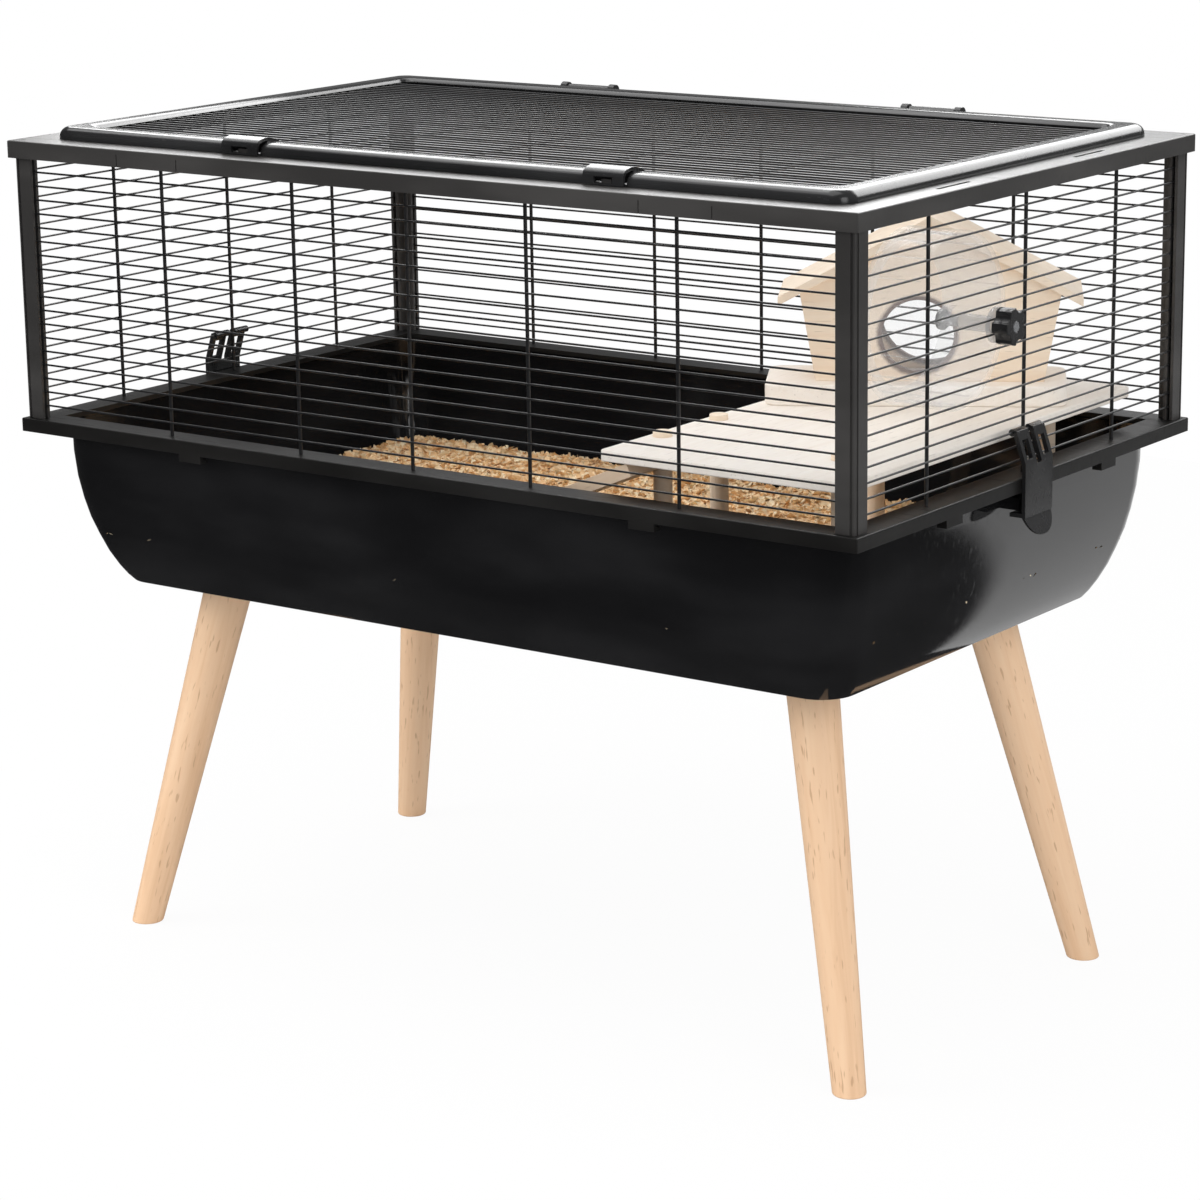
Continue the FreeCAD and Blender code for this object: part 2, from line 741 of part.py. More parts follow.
def hinge_bracket(x):
    """A plate on the back rail with two ears that hold the hinge pin."""
    axis_y, axis_z = hinge_axis()
    ear_start = hinge_barrel_length / 2 + hinge_side_gap
    half = ear_start + hinge_ear_thickness
    y0, y1 = axis_y - hinge_ear_depth / 2, axis_y + hinge_ear_depth / 2
    bracket = span(x - half, x + half, y0, y1, frame_top, frame_top + hinge_plate_thickness)
    ears = []
    for side in (-1, 1):
        near = x + side * ear_start
        far = x + side * half
        ear = span(min(near, far), max(near, far), y0, y1, frame_top, axis_z)
        cap = rod(V(min(near, far), axis_y, axis_z), X_AXIS, hinge_ear_depth, hinge_ear_thickness)
        ears.append(ear.fuse(cap))
    bore = rod(V(x - half - overrun, axis_y, axis_z), X_AXIS, hinge_pin_diameter + 2 * fit, 2 * (half + overrun))
    return bracket.fuse(ears).cut(bore).removeSplitter()


def hinge_pin(x):
    axis_y, axis_z = hinge_axis()
    half = hinge_barrel_length / 2 + hinge_side_gap + hinge_ear_thickness
    return rod(V(x - half, axis_y, axis_z), X_AXIS, hinge_pin_diameter, 2 * half)


def lid_clip(x):
    """A saddle that turns on the lid's front pin: a sleeve under an arched shell with a window in its front."""
    axis_y, axis_z = clip_axis()
    sleeve = clip_pin_diameter + 2 * clip_sleeve_wall
    half = clip_width / 2
    front = -lid_half_y - clip_front_gap - clip_shell - axis_y
    base = lid_base + seat_gap - axis_z
    reach = clip_tip_reach
    crown = clip_crown
    outline = [(front, base)]
    outline += [(front * share_y, crown * share_z) for share_y, share_z in clip_front_shares]
    outline += [(reach * share_y, crown * share_z) for share_y, share_z in clip_back_shares]
    outline += [(reach * share_y, crown * share_z) for share_y, share_z in clip_under_shares]
    outline += [((front + clip_shell) * share_y, crown * share_z) for share_y, share_z in clip_hollow_shares]
    outline += [(front + clip_shell, base)]
    shell = plate([V(x - half, axis_y + y, axis_z + z) for y, z in outline], V(clip_width, 0, 0))
    body = rod(V(x - half, axis_y, axis_z), X_AXIS, sleeve, clip_width)
    sill = lid_base + clip_window_sill
    window = span(x - clip_window_width / 2, x + clip_window_width / 2, axis_y + front - overrun,
                  axis_y + front + clip_shell + overrun / 2, sill, sill + clip_window_height)
    bore = rod(V(x - half - overrun, axis_y, axis_z), X_AXIS, clip_pin_diameter + 2 * fit, clip_width + 2 * overrun)
    return shell.fuse(body).cut([bore, window]).removeSplitter()


# End latches

def latch_pivot_z():
    return panel_base + wire_pitch * latch_wire_number


def end_latch():
    """The right-hand latch: two slotted arms on an end wire, a body over the rail and a toe under the tub's lug."""
    pivot_z = latch_pivot_z()
    inner = half_length + latch_clearance
    outer = inner + latch_thickness
    shoulder_z = panel_base + wire_pitch
    toe_top = lug_level() - lug_height - latch_toe_gap
    toe_base = toe_top - latch_toe_thickness
    base = pivot_z - latch_length
    sleeve = latch_sleeve_diameter / 2
    half = latch_width / 2
    arm_in = end_wire_x + sleeve / 2
    profile = [(end_wire_x, pivot_z + sleeve), (arm_in + sleeve, pivot_z + sleeve / 2), (outer, shoulder_z),
               (outer, toe_base), (outer - latch_step, toe_base), (outer + latch_flare - latch_step, base),
               (outer + latch_flare - latch_thickness, base),
               (inner, toe_base), (inner - latch_toe_length, toe_base), (inner - latch_toe_length, toe_top),
               (inner, toe_top), (inner, shoulder_z - latch_thickness), (arm_in, pivot_z - sleeve / 2),
               (end_wire_x, pivot_z - sleeve / 2)]
    body = prism_along_y(profile, -half, half)
    outline = rounded_yz(half, latch_thumb_round, base, pivot_z + sleeve + latch_thumb_round)
    body = body.common(outline.extrude(V(2 * latch_width, 0, 0)))
    body = body.fuse(rod(V(end_wire_x, -half, pivot_z), Y_AXIS, latch_sleeve_diameter, latch_width))
    far = outer + overrun
    near = end_wire_x - latch_sleeve_diameter
    low = pivot_z - latch_slot_length
    cuts = [span(near, far, -latch_slot_width / 2, latch_slot_width / 2, low, pivot_z + latch_sleeve_diameter)]
    arm = (latch_width - latch_slot_width) / 2
    for side in (-1, 1):
        y = side * (latch_slot_width + arm) / 2
        window_top = pivot_z - latch_sleeve_diameter
        cuts.append(span(near, far, y - latch_window_width / 2, y + latch_window_width / 2,
                         window_top - latch_window_height, window_top))
    cuts.append(rod(V(end_wire_x, -half - overrun, pivot_z), Y_AXIS, thin_wire + 2 * fit,
                    latch_width + 2 * overrun))
    return body.cut(cuts).removeSplitter()


def rounded_yz(half_y, radius, z0, z1):
    """An upright outline whose lower corners are round, on the plane of the end wires' inner side."""
    x = end_wire_x - latch_sleeve_diameter
    bend = radius * math.sqrt(0.5)
    left = V(x, -half_y + radius, z0 + radius)
    right = V(x, half_y - radius, z0 + radius)
    edges = [Part.makeLine(V(x, -half_y, z1), V(x, -half_y, z0 + radius)),
             Part.Arc(V(x, -half_y, z0 + radius), left + V(0, -bend, -bend), V(x, -half_y + radius, z0)).toShape(),
             Part.makeLine(V(x, -half_y + radius, z0), V(x, half_y - radius, z0)),
             Part.Arc(V(x, half_y - radius, z0), right + V(0, bend, -bend), V(x, half_y, z0 + radius)).toShape(),
             Part.makeLine(V(x, half_y, z0 + radius), V(x, half_y, z1)),
             Part.makeLine(V(x, half_y, z1), V(x, -half_y, z1))]
    return Part.Face(Part.Wire(edges))


# Shelf and ramp

def dowel_places():
    left = shelf_left + dowel_left_edge
    right = shelf_right - dowel_right_edge
    return ((left, dowel_front_y), (left, dowel_middle_y), (left, dowel_back_y),
            (right, dowel_front_y), (right, dowel_back_y))


def shelf_board():
    half_x = (shelf_right - shelf_left) / 2
    half_y = (shelf_back - shelf_front) / 2
    slab = rounded_block(half_x, half_y, shelf_corner_radius, shelf_height - shelf_thickness, shelf_height)
    slab.translate(V((shelf_right + shelf_left) / 2, (shelf_back + shelf_front) / 2, 0))
    holes = [still_rod(V(x, y, floor_top), Z_AXIS, dowel_diameter + 2 * fit, shelf_height)
             for x, y in dowel_places()]
    return slab.cut(holes)


def shelf_dowels():
    """Posts from the tub's floor up through the shelf; those under the house base stop level with the shelf."""
    dowels = []
    for x, y in dowel_places():
        cap = dowel_cap if y < 0 else 0
        dowels.append(still_rod(V(x, y, floor_top), Z_AXIS, dowel_diameter, shelf_height + cap - floor_top))
    return dowels


def ramp():
    """A plank from the bedding up to the shelf's left end, tucked under its edge."""
    slope = math.radians(ramp_slope_deg)
    along, up = math.cos(slope), math.sin(slope)
    low = bedding_top + seat_gap
    high = shelf_height - shelf_thickness - seat_gap
    length = (high - low - ramp_thickness * along) / up
    foot_x = shelf_left + ramp_under_shelf - length * along + ramp_thickness * up
    y0 = shelf_front + ramp_front_gap
    foot = (foot_x, low)
    head = (foot_x + length * along, low + length * up)
    rise = (-ramp_thickness * up, ramp_thickness * along)
    outline = [foot, head, (head[0] + rise[0], head[1] + rise[1]), (foot[0] + rise[0], foot[1] + rise[1])]
    plank = prism_along_y(outline, y0, y0 + ramp_width)
    posts = [still_rod(V(x, y, floor_top), Z_AXIS, dowel_diameter + 2 * seat_gap, shelf_height)
             for x, y in dowel_places()]
    return plank.cut(posts)


# House

def roof_underside(across):
    """Height of the roof's underside over a place across the house, measured from its middle."""
    return house_floor_z + house_wall_height + roof_rise * (1 - abs(across) / roof_half_width)


def in_place(shape):
    """Turn a piece of the house about its front's middle and set it down on the shelf."""
    shape.rotate(ORIGIN, Z_AXIS, house_turn_deg)
    shape.translate(V(house_x, house_y, 0))
    return shape


def gable(depth):
    """An end wall that widens towards the eaves."""
    foot = house_floor_width / 2
    eave = house_eave_width / 2
    outline = [(-foot, house_floor_z), (foot, house_floor_z), (eave, roof_underside(eave)), (0, roof_underside(0)),
               (-eave, roof_underside(eave))]
    return prism_along_y(outline, depth, depth + board)


def house_front_wall():
    """The front gable with its round doorway."""
    doorway = rod(V(door_offset, -overrun, house_floor_z + door_height), Y_AXIS, door_diameter, board + 2 * overrun)
    return in_place(gable(0).cut(doorway))


def house_back_wall():
    """The back gable, with a large round hole for air and cleaning."""
    depth = house_depth - board
    hole = rod(V(0, depth - overrun, house_floor_z + back_hole_height), Y_AXIS, back_hole_diameter,
               board + 2 * overrun)
    return in_place(gable(depth).cut(hole))


def house_side_wall(side):
    """A leaning board between the two gables."""
    foot = house_floor_width / 2
    eave = house_eave_width / 2
    outline = [(side * foot, house_floor_z), (side * eave, roof_underside(eave)),
               (side * (eave - board), roof_underside(eave - board)), (side * (foot - board), house_floor_z)]
    return in_place(prism_along_y(outline, board, house_depth - board))


def house_roof(side):
    """One roof board, from the ridge down past the wall."""
    pitch = roof_rise / roof_half_width
    drop = board * math.sqrt(1 + pitch * pitch)
    ridge = joint_gap / 2
    outline = [(side * ridge, roof_underside(ridge)), (side * ridge, roof_underside(ridge) + drop),
               (side * roof_half_width, roof_underside(roof_half_width) + drop),
               (side * roof_half_width, roof_underside(roof_half_width))]
    return in_place(prism_along_y(outline, -roof_overhang_y, house_depth + roof_overhang_y))


def house_base():
    """A thick board with round corners under the house."""
    half_x = (house_base_left + house_base_right) / 2
    half_y = (house_base_front + house_depth + house_base_back) / 2
    slab = rounded_block(half_x, half_y, house_base_round, shelf_height, house_floor_z)
    slab.translate(V(house_base_right - half_x, half_y - house_base_front, 0))
    return in_place(slab)


# Exercise wheel

def wheel_right():
    return end_wire_x - wheel_end_gap


def exercise_wheel():
    """A drum with a back disc and hub, an open front with a lip, and rungs inside."""
    x1 = wheel_right()
    x0 = x1 - wheel_width
    radius = wheel_diameter / 2
    centre = V(x0, wheel_y, wheel_z)
    drum = rod(centre, X_AXIS, wheel_diameter, wheel_width)
    hollow = rod(centre + X_AXIS * wheel_wall, X_AXIS, wheel_diameter - 2 * wheel_wall, wheel_width - 2 * wheel_wall)
    mouth = rod(centre - X_AXIS * overrun, X_AXIS, wheel_diameter - 2 * wheel_lip, wheel_wall + 2 * overrun)
    hub = rod(V(x1 - wheel_hub_length, wheel_y, wheel_z), X_AXIS, wheel_hub_diameter, wheel_hub_length)
    rungs = []
    for number in range(wheel_rung_count):
        rung = span(x0 + wheel_wall / 2, x1 - wheel_wall / 2, wheel_y - wheel_rung_width / 2,
                    wheel_y + wheel_rung_width / 2, wheel_z + radius - wheel_wall - wheel_rung_height,
                    wheel_z + radius - wheel_wall / 2)
        rung.rotate(centre, X_AXIS, 360.0 * number / wheel_rung_count)
        rungs.append(rung)
    bore = rod(V(x0, wheel_y, wheel_z), X_AXIS, axle_diameter + 2 * fit, wheel_width + overrun)
    return drum.cut([hollow, mouth]).fuse([hub] + rungs).cut(bore).removeSplitter()


def wheel_axle():
    """A pin through the wheel, with a sleeve and a collar that bear on the end wires from inside."""
    x0 = wheel_right() - wheel_hub_length - wheel_side_gap - retainer_thickness
    x1 = end_wire_x + thin_wire / 2 + seat_gap + knob_thickness
    collar_right = end_wire_x - thin_wire / 2 - seat_gap
    pin = rod(V(x0, wheel_y, wheel_z), X_AXIS, axle_diameter, x1 - x0)
    sleeve_left = wheel_right() + wheel_side_gap
    sleeve = rod(V(sleeve_left, wheel_y, wheel_z), X_AXIS, axle_sleeve_diameter, collar_right - sleeve_left)
    collar = rod(V(collar_right - axle_collar_thickness, wheel_y, wheel_z), X_AXIS, axle_collar_diameter,
                 axle_collar_thickness)
    return pin.fuse([sleeve, collar]).removeSplitter()


def wheel_retainer():
    x0 = wheel_right() - wheel_hub_length - wheel_side_gap - retainer_thickness
    cap = rod(V(x0, wheel_y, wheel_z), X_AXIS, retainer_diameter, retainer_thickness)
    return cap.cut(rod(V(x0 - overrun, wheel_y, wheel_z), X_AXIS, axle_diameter + 2 * fit,
                       retainer_thickness + 2 * overrun))


def wheel_knob():
    """A scalloped knob that clamps the axle from outside the end wires."""
    x0 = end_wire_x + thin_wire / 2 + seat_gap
    start = V(x0, wheel_y, wheel_z)
    knob = rod(start, X_AXIS, knob_diameter, knob_thickness)
    cuts = [rod(start - X_AXIS * overrun, X_AXIS, axle_diameter + 2 * fit, knob_thickness + 2 * overrun)]
    ring = (knob_diameter + knob_scallop_diameter / 2) / 2
    for number in range(knob_scallops):
        turn = 2 * math.pi * number / knob_scallops
        place = start + V(-overrun, ring * math.cos(turn), ring * math.sin(turn))
        cuts.append(rod(place, X_AXIS, knob_scallop_diameter, knob_thickness + 2 * overrun))
    return knob.cut(cuts)


def build():
    os.makedirs("parts", exist_ok=True)
    save("base_tub", base_tub())
    save("bedding", bedding())
    for sx, side in ((-1, "left"), (1, "right")):
        for sy, end in ((-1, "front"), (1, "back")):
            save("leg_" + end + "_" + side, leg(sx, sy))
    save("leg_studs", *leg_studs())
    save("leg_inserts", *leg_inserts())
    for name, low, high in zip(("front", "back", "left", "right"), bottom_rails(), top_rails()):
        save("bottom_rail_" + name, low)
        save("top_rail_" + name, high)
    post = corner_post()
    save("post_front_right", post)
    save("post_front_left", flip_x(post))
    save("post_back_right", flip_y(post))
    save("post_back_left", flip_x(flip_y(post)))
    front = front_panel()
    right = right_panel()
    save("wires_front", *front)
    save("wires_back", *[flip_y(wire) for wire in front])
    save("wires_right", *right)
    save("wires_left", *[flip_x(wire) for wire in right])
    save("lid_frame", lid_frame())
    save("lid_wires", *lid_wires())
    save("hinge_brackets", hinge_bracket(-hinge_x), hinge_bracket(hinge_x))
    save("hinge_pins", hinge_pin(-hinge_x), hinge_pin(hinge_x))
    save("lid_clip_left", lid_clip(-clip_x))
    save("lid_clip_right", lid_clip(clip_x))
    latch = end_latch()
    save("end_latch_right", latch)
    save("end_latch_left", flip_x(latch))
    save("shelf_board", shelf_board())
    save("shelf_dowels", *shelf_dowels())
    save("ramp", ramp())
    save("house_base", house_base())
    save("house_front_wall", house_front_wall())
    save("house_back_wall", house_back_wall())
    save("house_left_wall", house_side_wall(-1))
    save("house_right_wall", house_side_wall(1))
    save("house_roof_left", house_roof(-1))
    save("house_roof_right", house_roof(1))
    save("exercise_wheel", exercise_wheel())
    save("wheel_axle", wheel_axle())
    save("wheel_retainer", wheel_retainer())
    save("wheel_knob", wheel_knob())


build()
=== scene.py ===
"""Looks of the small-animal cage: black mouldings, coated wire, beech legs, boards and shavings."""
import bpy
import bmesh
import math
from mathutils import Matrix, Vector


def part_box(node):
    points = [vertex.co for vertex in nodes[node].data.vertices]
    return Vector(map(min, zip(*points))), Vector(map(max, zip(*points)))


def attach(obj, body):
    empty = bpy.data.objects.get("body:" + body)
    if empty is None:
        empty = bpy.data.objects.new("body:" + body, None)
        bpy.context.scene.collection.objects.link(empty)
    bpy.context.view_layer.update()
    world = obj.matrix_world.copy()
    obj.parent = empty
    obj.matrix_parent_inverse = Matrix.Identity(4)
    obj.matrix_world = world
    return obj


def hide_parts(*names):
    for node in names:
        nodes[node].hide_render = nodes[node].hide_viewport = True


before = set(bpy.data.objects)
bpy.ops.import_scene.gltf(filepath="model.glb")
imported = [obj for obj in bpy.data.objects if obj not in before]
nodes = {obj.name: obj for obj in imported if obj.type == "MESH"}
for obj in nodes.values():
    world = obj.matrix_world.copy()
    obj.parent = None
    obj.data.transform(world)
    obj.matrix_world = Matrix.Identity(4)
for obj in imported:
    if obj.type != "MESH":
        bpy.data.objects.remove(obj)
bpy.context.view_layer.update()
scene = bpy.context.scene
MM = 0.001


# Shader maths

class Field:
    """A socket of a finish's node tree; sums on it add Math nodes."""

    def __init__(self, finish, socket):
        self.finish = finish
        self.socket = socket

    def _math(self, operation, *values):
        node = self.finish.node("ShaderNodeMath", {"operation": operation}, dict(enumerate(values)))
        return Field(self.finish, node.outputs[0])

    def __add__(self, other):
        return self._math("ADD", self, other)

    def __radd__(self, other):
        return self._math("ADD", other, self)

    def __sub__(self, other):
        return self._math("SUBTRACT", self, other)

    def __rsub__(self, other):
        return self._math("SUBTRACT", other, self)

    def __mul__(self, other):
        return self._math("MULTIPLY", self, other)

    def __rmul__(self, other):
        return self._math("MULTIPLY", other, self)

    def __pow__(self, other):
        return self._math("POWER", self, other)

    def root(self):
        return self._math("SQRT", self)

    def between(self, low, high):
        """0 below low, 1 above high, smooth between them."""
        node = self.finish.node("ShaderNodeMapRange", {"interpolation_type": "SMOOTHSTEP"},
                                {"Value": self, "From Min": low, "From Max": high})
        return Field(self.finish, node.outputs["Result"])


class Finish:
    """A material with one surface shader, and the nodes that feed it."""

    def __init__(self, name, tree=None):
        if tree is None:
            self.material = bpy.data.materials.new(name)
            self.material.use_nodes = True
            tree = self.material.node_tree
        self.tree = tree
        self.shader = tree.nodes.get("Principled BSDF")

    def node(self, kind, settings=None, sockets=None):
        """Add a node, with its settings and what goes into its sockets."""
        made = self.tree.nodes.new(kind)
        for key, value in (settings or {}).items():
            if key == "stops":
                self._stops(made, value)
            else:
                setattr(made, key, value)
        for key, value in (sockets or {}).items():
            self.feed(made.inputs[key], value)
        return made

    def _stops(self, ramp, stops):
        """Give a colour ramp its places and colours."""
        elements = ramp.color_ramp.elements
        while len(elements) < len(stops):
            elements.new(1.0)
        for element, (place, colour) in zip(elements, stops):
            element.position = place
            element.color = (*colour, 1)

    def feed(self, socket, value):
        """Link a socket to another one, or set it to a plain value."""
        if isinstance(value, Field):
            self.tree.links.new(value.socket, socket)
        elif isinstance(value, bpy.types.NodeSocket):
            self.tree.links.new(value, socket)
        elif isinstance(value, (tuple, list)) and len(value) == 3 and socket.type == "RGBA":
            socket.default_value = (*value, 1)
        else:
            socket.default_value = value

    def set(self, **sockets):
        """Feed the surface shader; an underscore stands for a space in a socket's name."""
        for key, value in sockets.items():
            self.feed(self.shader.inputs[key.replace("_", " ")], value)

    def place(self):
        """The object's own coordinates, in metres."""
        return self.node("ShaderNodeTexCoord").outputs["Object"]

    def mapped(self, scale=(1, 1, 1), turn=(0, 0, 0)):
        """The object's own coordinates, turned and scaled."""
        made = self.node("ShaderNodeMapping", None,
                         {"Vector": self.place(), "Rotation": turn, "Scale": scale})
        return made.outputs["Vector"]

    def axes(self, vector):
        """The three parts of a vector."""
        split = self.node("ShaderNodeSeparateXYZ", None, {0: vector})
        return [Field(self, output) for output in split.outputs]

    def joined(self, x, y, z):
        """A vector from its three parts."""
        return self.node("ShaderNodeCombineXYZ", None, {0: x, 1: y, 2: z}).outputs[0]

    def noise(self, vector, scale, detail=2.0, rough=0.5, distortion=0.0):
        """Soft noise, scale cells to the metre."""
        made = self.node("ShaderNodeTexNoise", None, {"Vector": vector, "Scale": scale, "Detail": detail,
                                                      "Roughness": rough, "Distortion": distortion})
        return Field(self, made.outputs["Fac"])

    def ramp(self, value, *stops):
        """A colour that follows a value."""
        return self.node("ShaderNodeValToRGB", {"stops": stops}, {"Fac": value}).outputs["Color"]

    def mix(self, share, first, second):
        """The first colour, with a share of the second one over it."""
        made = self.node("ShaderNodeMix", {"data_type": "RGBA"}, {0: share, 6: first, 7: second})
        return made.outputs[2]

    def bump(self, height, strength, distance):
        """Fine relief of the surface, distance metres deep."""
        made = self.node("ShaderNodeBump", None,
                         {"Strength": strength, "Distance": distance, "Height": height})
        self.feed(self.shader.inputs["Normal"], made.outputs["Normal"])
        return self


# Finishes

BEECH_TONES = ((0.25, (0.72, 0.445, 0.255)), (0.5, (0.84, 0.56, 0.35)), (0.8, (0.9, 0.645, 0.43)))
BEECH_FLECK = (0.42, 0.22, 0.11)
SHAVING_TONES = ((0.12, (0.78, 0.47, 0.21)), (0.4, (0.93, 0.66, 0.38)), (0.85, (0.97, 0.83, 0.59)))
SHELF_TONES = ((0.97, 0.92, 0.86), (0.94, 0.875, 0.80), (0.88, 0.79, 0.70))
RAMP_TONES = ((0.86, 0.7, 0.54), (0.79, 0.6, 0.43), (0.66, 0.46, 0.3))
HOUSE_TONES = ((0.97, 0.85, 0.71), (0.94, 0.785, 0.62), (0.88, 0.685, 0.51))
SCORCH = (0.105, 0.042, 0.022)
SCORCH_FROM = 2.8 * MM
SCORCH_TO = 6.8 * MM
SCORCH_RAGGED = 2 * MM
HOUSE_TURN = math.radians(30)


def moulded(name, colour, roughness, spread, grain, waviness, gloss=0.5):
    """Moulded black plastic: faint flow marks, a fine skin and handling scuffs in its gloss."""
    finish = Finish(name)
    place = finish.place()
    flow = finish.noise(finish.mapped((3, 3, 9)), 2.0, 3.0)
    scuffs = finish.noise(finish.mapped((30, 300, 120), (0.3, 0.2, 0.5)), 1.0, 3.0).between(0.56, 0.72)
    skin = finish.noise(place, 1400.0, 2.0)
    pale = tuple(min(1.0, 1.7 * c + 0.004) for c in colour)
    finish.set(Base_Color=finish.mix(flow.between(0.35, 0.75), colour, pale),
               Roughness=roughness + spread * flow + 0.1 * scuffs)
    finish.shader.inputs["Specular IOR Level"].default_value = gloss
    wave = finish.noise(place, 9.0, 1.0)
    return finish.bump(skin * grain + wave * waviness, 0.35, 0.0012).material


def coated_wire():
    """Black powder coat with a slight orange peel."""
    finish = Finish("coated_wire")
    place = finish.place()
    peel = finish.noise(place, 900.0, 2.0)
    dust = finish.noise(place, 40.0, 3.0).between(0.5, 0.8)
    finish.set(Base_Color=finish.mix(dust, (0.012, 0.012, 0.013), (0.03, 0.029, 0.028)),
               Roughness=0.32 + 0.15 * peel)
    return finish.bump(peel, 0.25, 0.0003).material


def zinc_steel():
    """Bright zinc-plated steel with fine drawn lines."""
    finish = Finish("zinc_steel")
    brushed = finish.noise(finish.mapped((40, 900, 900)), 1.0, 2.0)
    finish.set(Base_Color=finish.ramp(brushed, (0.2, (0.5, 0.5, 0.49)), (0.8, (0.72, 0.72, 0.73))),
               Metallic=1.0, Roughness=0.25 + 0.2 * brushed)
    return finish.material


def beech_leg(name, lean_x, lean_y, shift):
    """Oiled beech: fine lines and short flecks that follow the leg's own lean."""
    finish = Finish(name)
    x, y, z = finish.axes(finish.place())
    across = x - z * lean_x + shift
    beside = y - z * lean_y
    along = finish.joined(across, beside, z * 0.05)
    rings = finish.noise(along, 130.0, 3.0, 0.6, 0.6)
    broad = finish.noise(finish.joined(across, beside, z * 0.12), 28.0, 2.0)
    fleck = finish.noise(finish.joined(across, beside, z * 0.16), 420.0, 1.0).between(0.64, 0.74)
    tone = finish.ramp(rings * 0.6 + broad * 0.4, *BEECH_TONES)
    finish.set(Base_Color=finish.mix(fleck * 0.5, tone, BEECH_FLECK),
               Roughness=0.42 + 0.18 * rings)
    return finish.bump(rings * 0.6 - fleck * 0.5, 0.25, 0.0006).material


def board_wood(name, turn, pale, warm, dark):
    """Sanded poplar board with long faint grain, a few pores and broad darker streaks."""
    finish = Finish(name)
    place = finish.mapped((1, 1, 1), turn)
    x, y, z = finish.axes(place)
    stretched = finish.joined(x * 0.06, y, z)
    grain = finish.noise(stretched, 170.0, 3.0, 0.6, 0.9)
    broad = finish.noise(finish.joined(x * 0.15, y, z), 22.0, 2.0, 0.5, 1.2)
    pores = finish.noise(finish.joined(x * 0.09, y, z), 620.0, 1.0).between(0.66, 0.76)
    tone = finish.ramp(grain * 0.5 + broad * 0.5, (0.25, dark), (0.5, warm), (0.78, pale))
    finish.set(Base_Color=finish.mix(pores * 0.4, tone, tuple(0.62 * c for c in dark)),
               Roughness=0.55 + 0.2 * grain)
    return finish.bump(grain * 0.5 - pores * 0.4, 0.2, 0.0005)


def shaving_wood():
    """Loose curls, each with its own tone and a fine grain."""
    finish = Finish("shaving_wood")
    tone = Field(finish, finish.node("ShaderNodeAttribute", {"attribute_name": "tone"}).outputs["Fac"])
    grain = finish.noise(finish.place(), 700.0, 2.0)
    finish.set(Base_Color=finish.ramp(tone * 0.75 + grain * 0.25, *SHAVING_TONES), Roughness=0.75)
    return finish.bump(grain, 0.3, 0.0005).material


def clear_moulding(name, dull, pale, thin):
    """Clear moulded plastic, milky where it is scuffed; thin is how much of it shows at least."""
    finish = Finish(name)
    place = finish.place()
    haze = finish.noise(place, 16.0, 3.0)
    scuff = finish.noise(finish.mapped((60, 400, 90)), 1.0, 2.0).between(0.58, 0.72)
    finish.set(Base_Color=finish.ramp(haze, (0.3, dull), (0.7, pale)),
               Roughness=0.05 + 0.06 * haze + 0.12 * scuff, Alpha=thin + 0.05 * haze + 0.05 * scuff)
    return finish.material


tub_black = moulded("tub_black", (0.0055, 0.0055, 0.006), 0.03, 0.03, 0.03, 0.3)
frame_black = moulded("frame_black", (0.03, 0.0285, 0.0275), 0.32, 0.1, 0.35, 0.15)
rail_black = moulded("rail_black", (0.008, 0.0076, 0.0073), 0.3, 0.1, 0.35, 0.15, 0.2)
lid_black = moulded("lid_black", (0.012, 0.012, 0.0125), 0.14, 0.08, 0.1, 0.2)
clip_black = moulded("clip_black", (0.01, 0.01, 0.0105), 0.2, 0.08, 0.15, 0.2)
wire_black = coated_wire()
steel = zinc_steel()
clear = clear_moulding("clear_moulding", (0.93, 0.94, 0.95), (0.98, 0.98, 0.98), 0.1)
axle_clear = clear_moulding("axle_clear", (0.42, 0.43, 0.45), (0.56, 0.57, 0.58), 0.3)
shaving = shaving_wood()
pale_board = board_wood("pale_board", (0, 0, math.pi / 2), *SHELF_TONES).material
ramp_board = board_wood("ramp_board", (0, 0.4, 0), *RAMP_TONES).material
house_board = board_wood("house_board", (0, 0, -HOUSE_TURN), *HOUSE_TONES).material


def scorched_gable(name, centre, radius):
    """A gable's board, with its laser-cut round hole burnt brown."""
    finish = board_wood(name, (0, 0, -HOUSE_TURN), *HOUSE_TONES)
    base = finish.shader.inputs["Base Color"].links[0].from_socket
    x, y, z = finish.axes(finish.place())
    across = (x - centre[0]) * math.cos(HOUSE_TURN) + (y - centre[1]) * math.sin(HOUSE_TURN)
    away = (across ** 2 + (z - centre[2]) ** 2).root()
    smoke = finish.noise(finish.place(), 240.0, 2.0)
    burnt = 1 - (away + smoke * SCORCH_RAGGED).between(radius + SCORCH_FROM, radius + SCORCH_TO)
    finish.set(Base_Color=finish.mix(burnt, base, SCORCH))
    return finish.material


# Meshes

SAME_POINT = 0.002 * MM
SAME_PLANE = math.radians(0.5)
ROUNDED_FROM = math.radians(40)
WIRE_SHARP_FROM = math.radians(50)


def finished(name, mesh, body, material, replaced):
    """Put a mesh in the scene in place of solids, on its body and with its material."""
    piece = bpy.data.objects.new(name, mesh)
    scene.collection.objects.link(piece)
    mesh.materials.clear()
    mesh.materials.append(material)
    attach(piece, body)
    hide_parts(*replaced)


